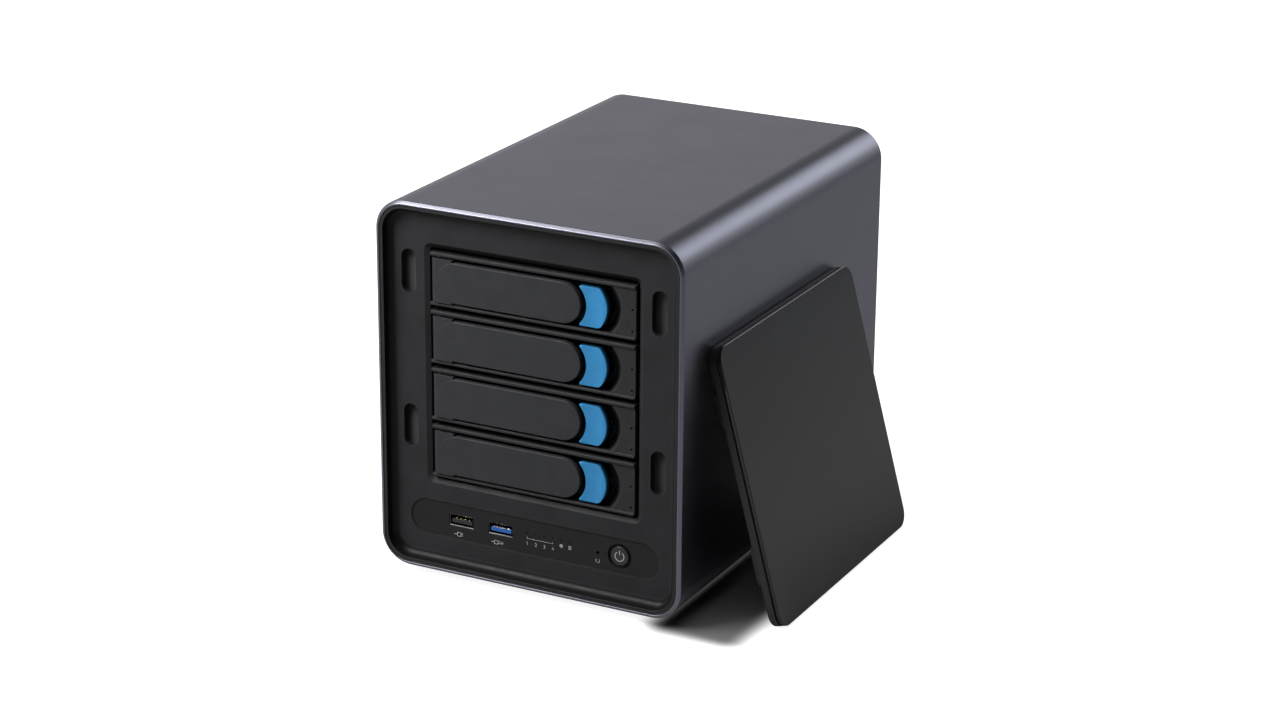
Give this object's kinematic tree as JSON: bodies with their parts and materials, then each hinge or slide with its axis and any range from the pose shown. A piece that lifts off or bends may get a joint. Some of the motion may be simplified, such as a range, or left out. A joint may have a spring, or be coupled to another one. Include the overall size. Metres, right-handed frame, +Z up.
{
  "type": "nas enclosure",
  "caption": "Desktop drive enclosure: rounded metal sleeve, black front with sliding drive trays and pull levers, rear fan, and its loose front cover leaning on one side.",
  "frame": {"origin": "on the floor, at the middle of the rectangle that the standing case and its leaning cover take up", "axes": "+Z up, -Y the way the front faces, +X towards the side that the cover leans on"},
  "size_m": [0.2055, 0.226, 0.1897],
  "materials": {
    "anodised_metal": "satin",
    "rubber": "matte",
    "black_plastic": "matte",
    "tray_plastic": "matte",
    "lever_plastic": "satin",
    "latch_blue": "satin",
    "cover_gloss": "gloss",
    "port_metal": "polished",
    "port_black": "satin",
    "port_blue": "satin",
    "circuit_board": "gloss",
    "clear_plastic": "gloss",
    "steel": "satin",
    "black_metal": "matte",
    "screw_steel": "satin",
    "nylon": "satin",
    "magnet": "polished",
    "bare_aluminium": "satin",
    "fan_plastic": "satin"
  },
  "bodies": {
    "enclosure": {"shell": "anodised_metal", "feet": "rubber", "front_bezel": "black_plastic", "slot_magnets": "magnet", "front_port_shells": "port_metal", "front_port_tongue_left": "port_black", "front_port_tongue_right": "port_blue", "front_port_board": "circuit_board", "light_pipes": "clear_plastic", "panel_switches": "port_black", "chassis_left_plate": "steel", "chassis_right_plate": "steel", "chassis_base_plate": "steel", "cage_floor_plate": "steel", "cage_roof_plate": "steel", "tray_guides": "nylon", "bezel_screws": "screw_steel", "backplane": "circuit_board", "drive_connectors": "port_black", "riser_board": "circuit_board", "mainboard": "circuit_board", "board_standoffs": "screw_steel", "heatsink": "bare_aluminium", "memory_module": "circuit_board", "rear_ports": "port_metal", "power_inlet": "port_black", "rear_panel": "black_metal", "rear_screws": "screw_steel", "fan_frame": "fan_plastic", "fan_guard": "screw_steel", "fan_screws": "screw_steel"},
    "fan": {"fan_rotor": "fan_plastic"},
    "power_button": {"power_button": "black_plastic"},
    "cover": {"cover_skin": "cover_gloss", "cover_frame": "black_plastic", "cover_magnets": "magnet"},
    "tray_1": {"tray_1_bezel": "tray_plastic", "tray_1_sled": "tray_plastic", "tray_1_hinge_pin": "screw_steel", "tray_1_latch_spring": "screw_steel"},
    "tray_1_lever": {"tray_1_lever": "lever_plastic"},
    "tray_1_latch": {"tray_1_latch": "latch_blue"},
    "tray_2": {"tray_2_bezel": "tray_plastic", "tray_2_sled": "tray_plastic", "tray_2_hinge_pin": "screw_steel", "tray_2_latch_spring": "screw_steel"},
    "tray_2_lever": {"tray_2_lever": "lever_plastic"},
    "tray_2_latch": {"tray_2_latch": "latch_blue"},
    "tray_3": {"tray_3_bezel": "tray_plastic", "tray_3_sled": "tray_plastic", "tray_3_hinge_pin": "screw_steel", "tray_3_latch_spring": "screw_steel"},
    "tray_3_lever": {"tray_3_lever": "lever_plastic"},
    "tray_3_latch": {"tray_3_latch": "latch_blue"},
    "tray_4": {"tray_4_bezel": "tray_plastic", "tray_4_sled": "tray_plastic", "tray_4_hinge_pin": "screw_steel", "tray_4_latch_spring": "screw_steel"},
    "tray_4_lever": {"tray_4_lever": "lever_plastic"},
    "tray_4_latch": {"tray_4_latch": "latch_blue"}
  },
  "joints": [
    {"name": "fan_spin", "type": "hinge", "parent": "enclosure", "child": "fan", "pos_m": [-0.02128, 0.096, 0.1107], "axis": [0, 1, 0], "continuous": true},
    {"name": "power_button_press", "type": "slide", "parent": "enclosure", "child": "power_button", "axis": [0, 1, 0], "range_m": [0, 0.001], "stiffness_N_per_m": 900},
    {"name": "cover_lift", "type": "slide", "parent": "enclosure", "child": "cover", "axis": [0, 0, 1], "range_m": [0, 0.2]},
    {"name": "tray_1_slide", "type": "slide", "parent": "enclosure", "child": "tray_1", "axis": [0, -1, 0], "range_m": [0, 0.15]},
    {"name": "tray_1_lever_hinge", "type": "hinge", "parent": "tray_1", "child": "tray_1_lever", "pos_m": [-0.07228, -0.1056, 0.15218], "axis": [0, 0, -1], "range_deg": [0, 60]},
    {"name": "tray_1_latch_slide", "type": "slide", "parent": "tray_1", "child": "tray_1_latch", "axis": [1, 0, 0], "range_m": [0, 0.003], "stiffness_N_per_m": 300, "deforming": ["tray_1_latch_spring"]},
    {"name": "tray_2_slide", "type": "slide", "parent": "enclosure", "child": "tray_2", "axis": [0, -1, 0], "range_m": [0, 0.15]},
    {"name": "tray_2_lever_hinge", "type": "hinge", "parent": "tray_2", "child": "tray_2_lever", "pos_m": [-0.07228, -0.1056, 0.12323], "axis": [0, 0, -1], "range_deg": [0, 60]},
    {"name": "tray_2_latch_slide", "type": "slide", "parent": "tray_2", "child": "tray_2_latch", "axis": [1, 0, 0], "range_m": [0, 0.003], "stiffness_N_per_m": 300, "deforming": ["tray_2_latch_spring"]},
    {"name": "tray_3_slide", "type": "slide", "parent": "enclosure", "child": "tray_3", "axis": [0, -1, 0], "range_m": [0, 0.15]},
    {"name": "tray_3_lever_hinge", "type": "hinge", "parent": "tray_3", "child": "tray_3_lever", "pos_m": [-0.07228, -0.1056, 0.09427], "axis": [0, 0, -1], "range_deg": [0, 60]},
    {"name": "tray_3_latch_slide", "type": "slide", "parent": "tray_3", "child": "tray_3_latch", "axis": [1, 0, 0], "range_m": [0, 0.003], "stiffness_N_per_m": 300, "deforming": ["tray_3_latch_spring"]},
    {"name": "tray_4_slide", "type": "slide", "parent": "enclosure", "child": "tray_4", "axis": [0, -1, 0], "range_m": [0, 0.15]},
    {"name": "tray_4_lever_hinge", "type": "hinge", "parent": "tray_4", "child": "tray_4_lever", "pos_m": [-0.07228, -0.1056, 0.06532], "axis": [0, 0, -1], "range_deg": [0, 60]},
    {"name": "tray_4_latch_slide", "type": "slide", "parent": "tray_4", "child": "tray_4_latch", "axis": [1, 0, 0], "range_m": [0, 0.003], "stiffness_N_per_m": 300, "deforming": ["tray_4_latch_spring"]}
  ]
}
